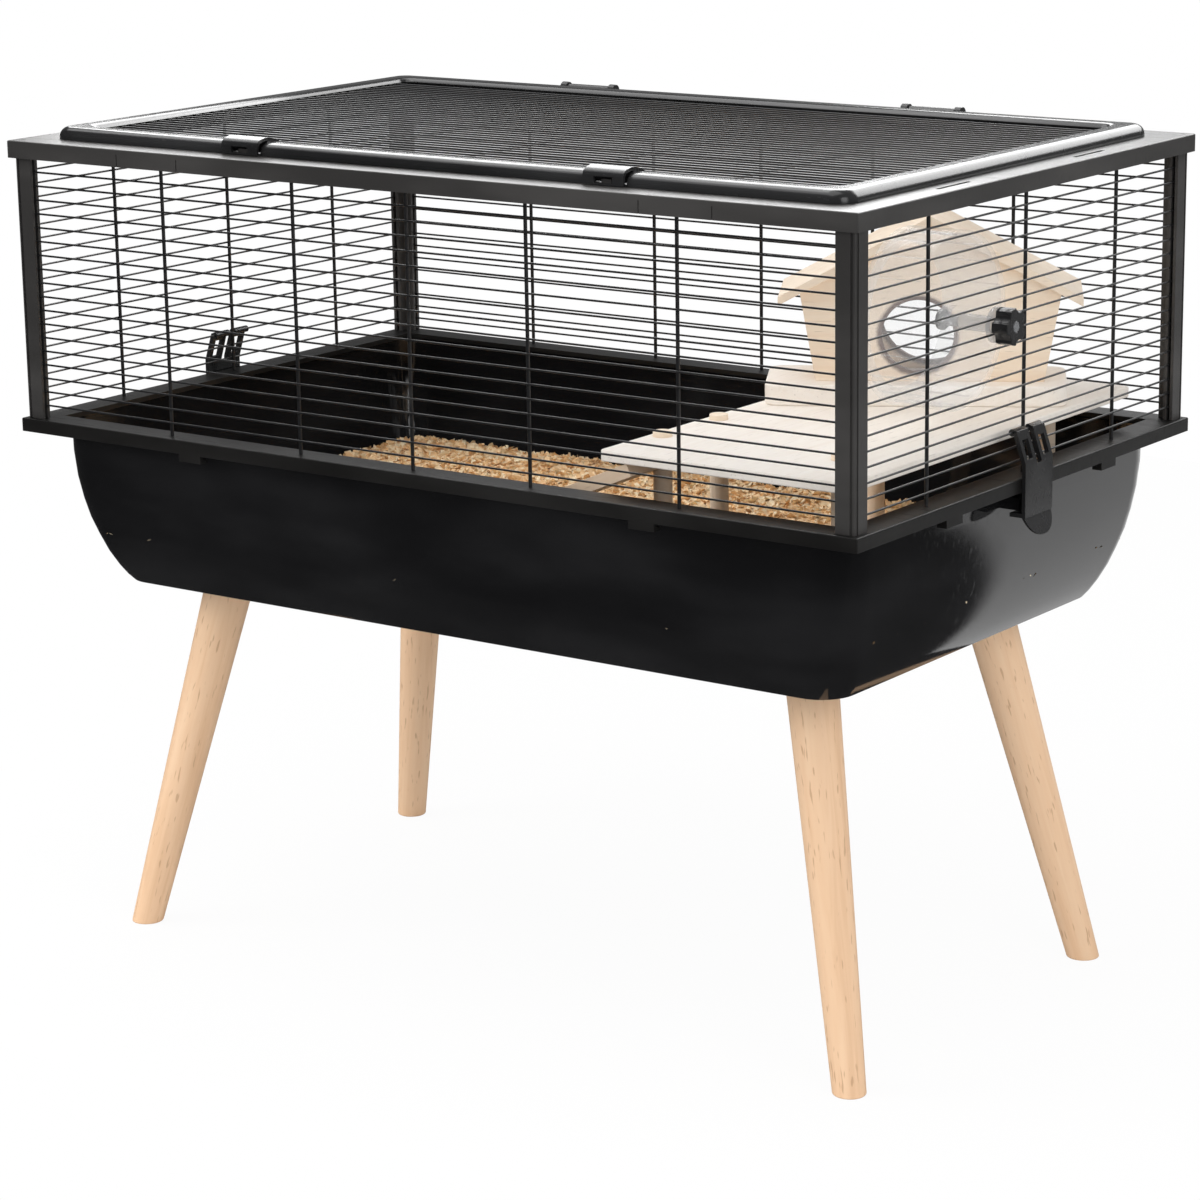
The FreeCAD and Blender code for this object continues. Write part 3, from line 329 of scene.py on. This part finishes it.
def smooth_copy(node, sharp_deg=35.0):
    """A merged copy of a solid's mesh, smooth except at its real edges."""
    shape = bmesh.new()
    shape.from_mesh(nodes[node].data)
    bmesh.ops.remove_doubles(shape, verts=shape.verts, dist=SAME_POINT)
    bmesh.ops.dissolve_limit(shape, angle_limit=SAME_PLANE, verts=shape.verts, edges=shape.edges)
    mesh = bpy.data.meshes.new(node + "_smooth")
    shape.to_mesh(mesh)
    shape.free()
    for attribute in ("custom_normal", "sharp_edge", "sharp_face"):
        if attribute in mesh.attributes:
            mesh.attributes.remove(mesh.attributes[attribute])
    mesh.polygons.foreach_set("use_smooth", [True] * len(mesh.polygons))
    mesh.set_sharp_from_angle(angle=math.radians(sharp_deg))
    return mesh


def softened(node, body, material, edge_mm=0.0, segments=2, sharp_deg=35.0):
    """A piece that stands for a solid: its edges rounded and its curves shaded smooth."""
    mesh = smooth_copy(node, sharp_deg)
    piece = bpy.data.objects.new(node + "_finish", mesh)
    scene.collection.objects.link(piece)
    if edge_mm:
        bevel = piece.modifiers.new("edge", "BEVEL")
        bevel.width = edge_mm * MM
        bevel.segments = segments
        bevel.limit_method = "ANGLE"
        bevel.angle_limit = ROUNDED_FROM
    even = piece.modifiers.new("even", "WEIGHTED_NORMAL")
    even.keep_sharp = True
    done = bpy.data.meshes.new_from_object(piece.evaluated_get(bpy.context.evaluated_depsgraph_get()))
    bpy.data.objects.remove(piece)
    finished(node + "_finish", done, body, material, (node,))


# Geometry Nodes

class Tree:
    """A Geometry Nodes tree made in code, with named size inputs."""

    def __init__(self, name):
        self.group = bpy.data.node_groups.new(name, "GeometryNodeTree")
        self.group.interface.new_socket("Geometry", in_out="OUTPUT", socket_type="NodeSocketGeometry")
        self.inputs = {}

    def size(self, name, kind="NodeSocketFloat"):
        """Add a named input, set through its identifier when the tree runs."""
        item = self.group.interface.new_socket(name, in_out="INPUT", socket_type=kind)
        self.inputs[name] = item.identifier

    def entry(self):
        """The sockets that the tree's inputs come in by, once all are named."""
        return self.group.nodes.new("NodeGroupInput").outputs

    def node(self, kind, settings=None, sockets=None):
        """Add a node, with its settings and what goes into its sockets."""
        made = self.group.nodes.new(kind)
        for key, value in (settings or {}).items():
            setattr(made, key, value)
        for key, value in (sockets or {}).items():
            if isinstance(value, bpy.types.NodeSocket):
                self.group.links.new(value, made.inputs[key])
            else:
                made.inputs[key].default_value = value
        return made

    def finish(self, geometry, material):
        """End the tree in plain geometry with its material."""
        real = self.node("GeometryNodeRealizeInstances", None, {"Geometry": geometry})
        coloured = self.node("GeometryNodeSetMaterial", None,
                             {"Geometry": real.outputs[0], "Material": material})
        out = self.group.nodes.new("NodeGroupOutput")
        self.group.links.new(coloured.outputs[0], out.inputs[0])

    def mesh(self, name, values, base=None):
        """Run the tree on an object and keep the result as a plain mesh."""
        holder = bpy.data.objects.new(name, base or bpy.data.meshes.new(name))
        scene.collection.objects.link(holder)
        modifier = holder.modifiers.new("made", "NODES")
        modifier.node_group = self.group
        for key, value in values.items():
            modifier[self.inputs[key]] = value
        mesh = bpy.data.meshes.new_from_object(holder.evaluated_get(bpy.context.evaluated_depsgraph_get()))
        bpy.data.objects.remove(holder)
        return mesh


def wire_row_tree():
    """Round wires of one length in a row: each lies along X and the row steps along Z."""
    tree = Tree("wire_row")
    tree.size("Count", "NodeSocketInt")
    for name in ("Pitch", "Reach", "Radius"):
        tree.size(name)
    given = tree.entry()
    back = tree.node("ShaderNodeMath", {"operation": "MULTIPLY"}, {0: given["Reach"], 1: -1.0})
    low = tree.node("ShaderNodeCombineXYZ", None, {0: back.outputs[0]})
    high = tree.node("ShaderNodeCombineXYZ", None, {0: given["Reach"]})
    line = tree.node("GeometryNodeCurvePrimitiveLine", None,
                     {"Start": low.outputs[0], "End": high.outputs[0]})
    ring = tree.node("GeometryNodeCurvePrimitiveCircle", None,
                     {"Resolution": WIRE_SIDES, "Radius": given["Radius"]})
    tube = tree.node("GeometryNodeCurveToMesh", None,
                     {"Curve": line.outputs[0], "Profile Curve": ring.outputs[0], "Fill Caps": True})
    smooth = tree.node("GeometryNodeSetShadeSmooth", None, {"Geometry": tube.outputs[0]})
    step = tree.node("ShaderNodeCombineXYZ", None, {2: given["Pitch"]})
    row = tree.node("GeometryNodeMeshLine", None, {"Count": given["Count"], "Offset": step.outputs[0]})
    laid = tree.node("GeometryNodeInstanceOnPoints", None,
                     {"Points": row.outputs[0], "Instance": smooth.outputs[0]})
    tree.finish(laid.outputs[0], wire_black)
    return tree


def moved(mesh, matrix):
    """The same mesh, turned and shifted."""
    mesh.transform(matrix)
    return mesh


def joined_meshes(name, meshes):
    """One mesh from several, faces kept smooth."""
    shape = bmesh.new()
    for mesh in meshes:
        shape.from_mesh(mesh)
    whole = bpy.data.meshes.new(name)
    shape.to_mesh(whole)
    shape.free()
    whole.polygons.foreach_set("use_smooth", [True] * len(whole.polygons))
    whole.set_sharp_from_angle(angle=WIRE_SHARP_FROM)
    return whole


# Wire panels and lid wires

THIN = 0.8 * MM
THICK = 1.4 * MM
CROSS = 1.1 * MM
WELD = THIN + THICK
WIRE_SIDES = 12
PANEL_BASE = 431.4 * MM
PANEL_GAPS = 19
PITCH = 206.6 * MM / PANEL_GAPS
FRONT_PLANE = 234.5 * MM
END_PLANE = 382 * MM
FRONT_UPRIGHTS_MM = (-238, -108, 0, 108, 238)
END_UPRIGHTS_MM = (-135, 0, 135)
LID_INSIDE = 388 * MM
LID_GAPS = 36
LID_LEVEL = 656.2 * MM
wire_rows = wire_row_tree()


def panel(node, along, side, plane, uprights_mm):
    """Level wires on one side of the cage, and the thicker uprights welded inside them."""
    low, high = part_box(node)
    turn = Matrix.Identity(4) if along == "X" else Matrix.Rotation(math.pi / 2, 4, "Z")
    reach = (high.x - low.x) / 2 if along == "X" else (high.y - low.y) / 2
    level = wire_rows.mesh(node, {"Count": PANEL_GAPS - 1, "Pitch": PITCH,
                                  "Reach": reach, "Radius": THIN})
    outer = side * plane
    lowest = PANEL_BASE + PITCH
    shift = (0, outer, lowest) if along == "X" else (outer, 0, lowest)
    meshes = [moved(level, Matrix.Translation(shift) @ turn)]
    inner = side * (plane - WELD)
    middle = (low.z + high.z) / 2
    rise = (high.z - low.z) / 2
    stand = Matrix.Rotation(math.pi / 2, 4, "Y")
    for place in uprights_mm:
        rod = wire_rows.mesh(node, {"Count": 1, "Pitch": PITCH, "Reach": rise, "Radius": THICK})
        spot = (place * MM, inner, middle) if along == "X" else (inner, place * MM, middle)
        meshes.append(moved(rod, Matrix.Translation(spot) @ stand))
    whole = joined_meshes(node + "_round", meshes)
    finished(node + "_finish", whole, "cage", wire_black, (node,))


def lid_grid():
    """Close wires along the lid on five cross wires."""
    low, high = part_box("lid_wires")
    pitch = LID_INSIDE / LID_GAPS
    length = (high.x - low.x) / 2
    depth = (high.y - low.y) / 2
    row = wire_rows.mesh("lid_long", {"Count": LID_GAPS - 1, "Pitch": pitch,
                                      "Reach": length, "Radius": THIN})
    lie = Matrix.Rotation(math.pi / 2, 4, "X")
    meshes = [moved(row, Matrix.Translation((0, LID_INSIDE / 2 - pitch, LID_LEVEL)) @ lie)]
    turn = Matrix.Rotation(math.pi / 2, 4, "Z")
    for place in FRONT_UPRIGHTS_MM:
        rod = wire_rows.mesh("lid_cross", {"Count": 1, "Pitch": pitch, "Reach": depth, "Radius": CROSS})
        meshes.append(moved(rod, Matrix.Translation((place * MM, 0, LID_LEVEL - THIN - CROSS)) @ turn))
    whole = joined_meshes("lid_wires_round", meshes)
    finished("lid_wires_finish", whole, "lid", wire_black, ("lid_wires",))


for node, side in (("wires_front", -1), ("wires_back", 1)):
    panel(node, "X", side, FRONT_PLANE, FRONT_UPRIGHTS_MM)
for node, side in (("wires_left", -1), ("wires_right", 1)):
    panel(node, "Y", side, END_PLANE, END_UPRIGHTS_MM)
lid_grid()


# Tub, rails, posts, lid, clips and latches

softened("base_tub", "cage", tub_black, 1.2, 3, 32)
for side in ("front", "back", "left", "right"):
    softened("bottom_rail_" + side, "cage", rail_black, 0.6)
    softened("top_rail_" + side, "cage", frame_black, 0.6)
for corner in ("front_left", "front_right", "back_left", "back_right"):
    softened("post_" + corner, "cage", frame_black, 0.4)
softened("lid_frame", "lid", lid_black, 0.4)
softened("hinge_brackets", "cage", clip_black, 0.4)
softened("lid_clip_left", "clip_left", clip_black, 0.5)
softened("lid_clip_right", "clip_right", clip_black, 0.5)
softened("end_latch_left", "latch_left", clip_black, 0.6)
softened("end_latch_right", "latch_right", clip_black, 0.6)
softened("wheel_knob", "knob", clip_black, 0.8, 3)
softened("wheel_retainer", "cage", clip_black, 0.5)
softened("exercise_wheel", "wheel", clear, 0.3)
softened("wheel_axle", "cage", axle_clear, 0.4)
for node in ("leg_studs", "leg_inserts", "hinge_pins"):
    softened(node, "cage", steel)

# Legs and boards

LEAN_X = 65.0 / 296.0
LEAN_Y = 50.0 / 296.0
GRAIN_SHIFT = 0.37
HOUSE_FLOOR = Vector((263, 64, 476)) * MM
DOOR_ASIDE = 9 * MM
DOOR_RISE = 35 * MM
DOOR_RADIUS = 27 * MM
HOLE_RISE = 44 * MM
HOLE_RADIUS = 38 * MM
for index, (end, side, sx, sy) in enumerate((("front", "left", -1, -1), ("front", "right", 1, -1),
                                             ("back", "left", -1, 1), ("back", "right", 1, 1))):
    leg_wood = beech_leg("beech_" + end + "_" + side, -sx * LEAN_X, -sy * LEAN_Y, GRAIN_SHIFT * index)
    softened("leg_" + end + "_" + side, "cage", leg_wood, 1.2, 3, 40)
softened("shelf_board", "cage", pale_board, 0.9)
softened("shelf_dowels", "cage", house_board, 0.8)
softened("ramp", "cage", ramp_board, 0.8)
softened("house_base", "cage", pale_board, 1.5, 3)
across = Vector((math.cos(HOUSE_TURN), math.sin(HOUSE_TURN), 0))
door = HOUSE_FLOOR - across * DOOR_ASIDE + Vector((0, 0, DOOR_RISE))
front_gable = scorched_gable("scorched_front", door, DOOR_RADIUS)
softened("house_front_wall", "cage", front_gable, 0.4)
back_hole = HOUSE_FLOOR + Vector((0, 0, HOLE_RISE))
back_gable = scorched_gable("scorched_back", back_hole, HOLE_RADIUS)
softened("house_back_wall", "cage", back_gable, 0.4)
for node in ("house_left_wall", "house_right_wall", "house_roof_left", "house_roof_right"):
    softened(node, "cage", house_board, 0.5)


# Bedding

FLAKE_STEPS = 4
FLAKE_CURL = 1.9
FLAKE_TWIST = 0.5
FLAKE_TILT = 0.55
FLAKE_SMALL = 2.2 * MM
FLAKE_LARGE = 5.8 * MM
FLAKES_PER_M2 = 60000.0
COVER_DEPTH = 6.5 * MM
FORM_TONE = 0.45
FULL_TURN = 6.283
PLACE_SEED = 11
TURN_SEED = 3
SIZE_SEED = 5
TONE_SEED = 8


def flake_mesh():
    """One curled shaving: a thin strip, a little twisted."""
    shape = bmesh.new()
    rows = []
    for step in range(FLAKE_STEPS + 1):
        share = step / FLAKE_STEPS
        bend = FLAKE_CURL * (share - 0.5)
        width = 0.5 * (0.75 + 0.5 * math.sin(math.pi * share))
        centre = Vector((math.sin(bend), 0, 1 - math.cos(bend)))
        tilt = FLAKE_TWIST * (share - 0.5)
        side = Vector((0, math.cos(tilt), math.sin(tilt))) * width
        rows.append((shape.verts.new(centre - side), shape.verts.new(centre + side)))
    for first, second in zip(rows, rows[1:]):
        shape.faces.new((first[0], second[0], second[1], first[1]))
    mesh = bpy.data.meshes.new("flake")
    shape.to_mesh(mesh)
    shape.free()
    return mesh


def shavings():
    """The bedding: its solid's heaped form, with loose curls on its upper side."""
    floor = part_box("bedding")[1].z - COVER_DEPTH
    shape = bmesh.new()
    shape.from_mesh(smooth_copy("bedding"))
    bmesh.ops.triangulate(shape, faces=shape.faces)
    base = bpy.data.meshes.new("bedding_form")
    shape.to_mesh(base)
    shape.free()
    flake = bpy.data.objects.new("flake", flake_mesh())
    scene.collection.objects.link(flake)
    tree = Tree("shaving_cover")
    tree.group.interface.new_socket("Form", in_out="INPUT", socket_type="NodeSocketGeometry")
    for name in ("Density", "Small", "Large", "Floor"):
        tree.size(name)
    tree.size("Seed", "NodeSocketInt")
    given = tree.entry()
    place = tree.node("GeometryNodeInputPosition")
    height = tree.node("ShaderNodeSeparateXYZ", None, {0: place.outputs[0]})
    upper = tree.node("FunctionNodeCompare", {"operation": "GREATER_THAN"},
                      {0: height.outputs[2], 1: given["Floor"]})
    spread = tree.node("GeometryNodeDistributePointsOnFaces", None,
                       {"Mesh": given["Form"], "Selection": upper.outputs[0], "Density": given["Density"],
                        "Seed": given["Seed"]})
    source = tree.node("GeometryNodeObjectInfo", None, {"Object": flake})
    turn = tree.node("FunctionNodeRandomValue", {"data_type": "FLOAT_VECTOR"},
                     {0: (-FLAKE_TILT, -FLAKE_TILT, 0.0), 1: (FLAKE_TILT, FLAKE_TILT, FULL_TURN),
                      "Seed": TURN_SEED})
    size = tree.node("FunctionNodeRandomValue", {"data_type": "FLOAT"},
                     {2: given["Small"], 3: given["Large"], "Seed": SIZE_SEED})
    tone = tree.node("FunctionNodeRandomValue", {"data_type": "FLOAT"},
                     {2: 0.0, 3: 1.0, "Seed": TONE_SEED})
    laid = tree.node("GeometryNodeInstanceOnPoints", None,
                     {"Points": spread.outputs["Points"], "Instance": source.outputs["Geometry"],
                      "Rotation": turn.outputs[0], "Scale": size.outputs[1]})
    toned = tree.node("GeometryNodeStoreNamedAttribute", {"data_type": "FLOAT", "domain": "INSTANCE"},
                      {"Geometry": laid.outputs[0], "Name": "tone", "Value": tone.outputs[1]})
    ground = tree.node("GeometryNodeStoreNamedAttribute", {"data_type": "FLOAT", "domain": "POINT"},
                       {"Geometry": given["Form"], "Name": "tone", "Value": FORM_TONE})
    both = tree.node("GeometryNodeJoinGeometry")
    tree.group.links.new(toned.outputs[0], both.inputs[0])
    tree.group.links.new(ground.outputs[0], both.inputs[0])
    tree.finish(both.outputs[0], shaving)
    mesh = tree.mesh("shavings", {"Density": FLAKES_PER_M2, "Small": FLAKE_SMALL, "Large": FLAKE_LARGE,
                                  "Floor": floor, "Seed": PLACE_SEED}, base)
    bpy.data.objects.remove(flake)
    finished("shavings", mesh, "cage", shaving, ("bedding",))


shavings()


# Camera, floor and light

AROUND = math.radians(36.101)
ABOVE = math.radians(14.269)
ROLL = math.radians(-0.859)
AIM = Vector((-0.0011, 0, 0.2833))
AWAY = 2.9019
LENS = 109.49
SENSOR = 36.0
FLOOR_X = (-0.75, 1.8)
FLOOR_Y = (-0.45, 1.9)
FLOOR_WHITE = 0.94
FLOOR_IN_GLOSS = 0.05
ROOM_IN_GLOSS = 0.03
BACK_IN_GLOSS = 0.2
ROOM_FILL = 0.78


def camera():
    """The photograph's standpoint: front right, a little above, through a long lens."""
    level = math.cos(ABOVE)
    back = Vector((math.sin(AROUND) * level, -math.cos(AROUND) * level, math.sin(ABOVE)))
    right = Vector((math.cos(AROUND), math.sin(AROUND), 0))
    up = back.cross(right)
    side = right * math.cos(ROLL) + up * math.sin(ROLL)
    top = up * math.cos(ROLL) - right * math.sin(ROLL)
    data = bpy.data.cameras.new("camera")
    data.lens = LENS
    data.sensor_width = SENSOR
    held = bpy.data.objects.new("camera", data)
    held.matrix_world = Matrix((side, top, back)).transposed().to_4x4()
    held.matrix_world.translation = AIM + back * AWAY
    scene.collection.objects.link(held)
    scene.camera = held


def lamp(name, place, aim, width, height, watts, card=False, turn=0.0, gloss=True):
    """A soft box, turned about its own axis; a card shows only in gloss."""
    data = bpy.data.lights.new(name, "AREA")
    data.shape = "RECTANGLE"
    data.size = width
    data.size_y = height
    data.energy = watts
    box = bpy.data.objects.new(name, data)
    box.location = place
    facing = (Vector(aim) - Vector(place)).to_track_quat("-Z", "Y").to_matrix()
    box.rotation_euler = (facing @ Matrix.Rotation(turn, 3, "Z")).to_euler()
    box.visible_camera = False
    box.visible_glossy = gloss
    if card:
        box.visible_diffuse = False
        box.visible_transmission = False
    scene.collection.objects.link(box)


def studio_floor():
    """A pale floor, white to the camera apart from the object's soft shadow."""
    mesh = bpy.data.meshes.new("studio_floor")
    (x0, x1), (y0, y1) = FLOOR_X, FLOOR_Y
    mesh.from_pydata([(x0, y0, 0), (x1, y0, 0), (x1, y1, 0), (x0, y1, 0)], [], [(0, 1, 2, 3)])
    floor = bpy.data.objects.new("studio_floor", mesh)
    scene.collection.objects.link(floor)
    finish = Finish("studio_floor")
    path = finish.node("ShaderNodeLightPath")
    seen = Field(finish, path.outputs["Is Camera Ray"]) + Field(finish, path.outputs["Is Transmission Ray"])
    glossy = Field(finish, path.outputs["Is Glossy Ray"])
    finish.set(Base_Color=(0.9, 0.9, 0.9), Roughness=1.0)
    finish.shader.inputs["Specular IOR Level"].default_value = 0.0
    white = finish.node("ShaderNodeEmission", None,
                        {"Color": (1, 1, 1), "Strength": seen + glossy * FLOOR_IN_GLOSS})
    blend = finish.node("ShaderNodeMixShader", None,
                        {0: seen * FLOOR_WHITE + glossy, 1: finish.shader.outputs[0], 2: white.outputs[0]})
    finish.tree.links.new(blend.outputs[0], finish.tree.nodes["Material Output"].inputs["Surface"])
    mesh.materials.append(finish.material)


def studio_world():
    """White to the eye and through clear plastic, a dim room in gloss, plain fill elsewhere."""
    world = bpy.data.worlds.new("studio")
    world.use_nodes = True
    scene.world = world
    finish = Finish("studio", world.node_tree)
    path = finish.node("ShaderNodeLightPath")
    x, y, z = finish.axes(finish.node("ShaderNodeTexCoord").outputs["Generated"])
    seen = Field(finish, path.outputs["Is Camera Ray"]) + Field(finish, path.outputs["Is Transmission Ray"])
    glossy = Field(finish, path.outputs["Is Glossy Ray"])
    behind = (y * 0.8 + x * 0.25 + z * 0.35).between(-0.15, 0.75)
    in_gloss = ROOM_IN_GLOSS + BACK_IN_GLOSS * behind
    level = seen + glossy * in_gloss + (1 - seen - glossy) * ROOM_FILL
    back = world.node_tree.nodes["Background"]
    back.inputs["Color"].default_value = (1, 1, 1, 1)
    finish.feed(back.inputs["Strength"], level)


scene.view_settings.view_transform = "Standard"
camera()
studio_floor()
studio_world()
lamp("overhead", (-0.3, -0.5, 2.6), (0, 0, 0.4), 2.2, 1.8, 21)
lamp("side_fill", (2.3, -1.2, 1.3), (0, 0, 0.3), 1.2, 1.6, 16)
lamp("left_fill", (-2.0, -1.9, 1.5), (0.2, 0, 0.35), 1.6, 1.2, 30, gloss=False)
lamp("end_card", (0.379, 1.372, 0.004), (0.379, 1.372, 1.0), 1.5, 1.3, 5.6, card=True,
     turn=math.radians(-48.1))
lamp("front_card", (-0.25, 0.15, 0.98), (-0.25, -1, 0.98), 1.0, 0.44, 8, card=True)
lamp("lid_card", (0.35, 1.15, 1.435), (0.35, 0, 1.435), 1.7, 0.93, 29, card=True)
lamp("top_card", (-1.35, 0.5, 2.3), (-1.35, 0.5, 0), 1.5, 1.6, 20, card=True)
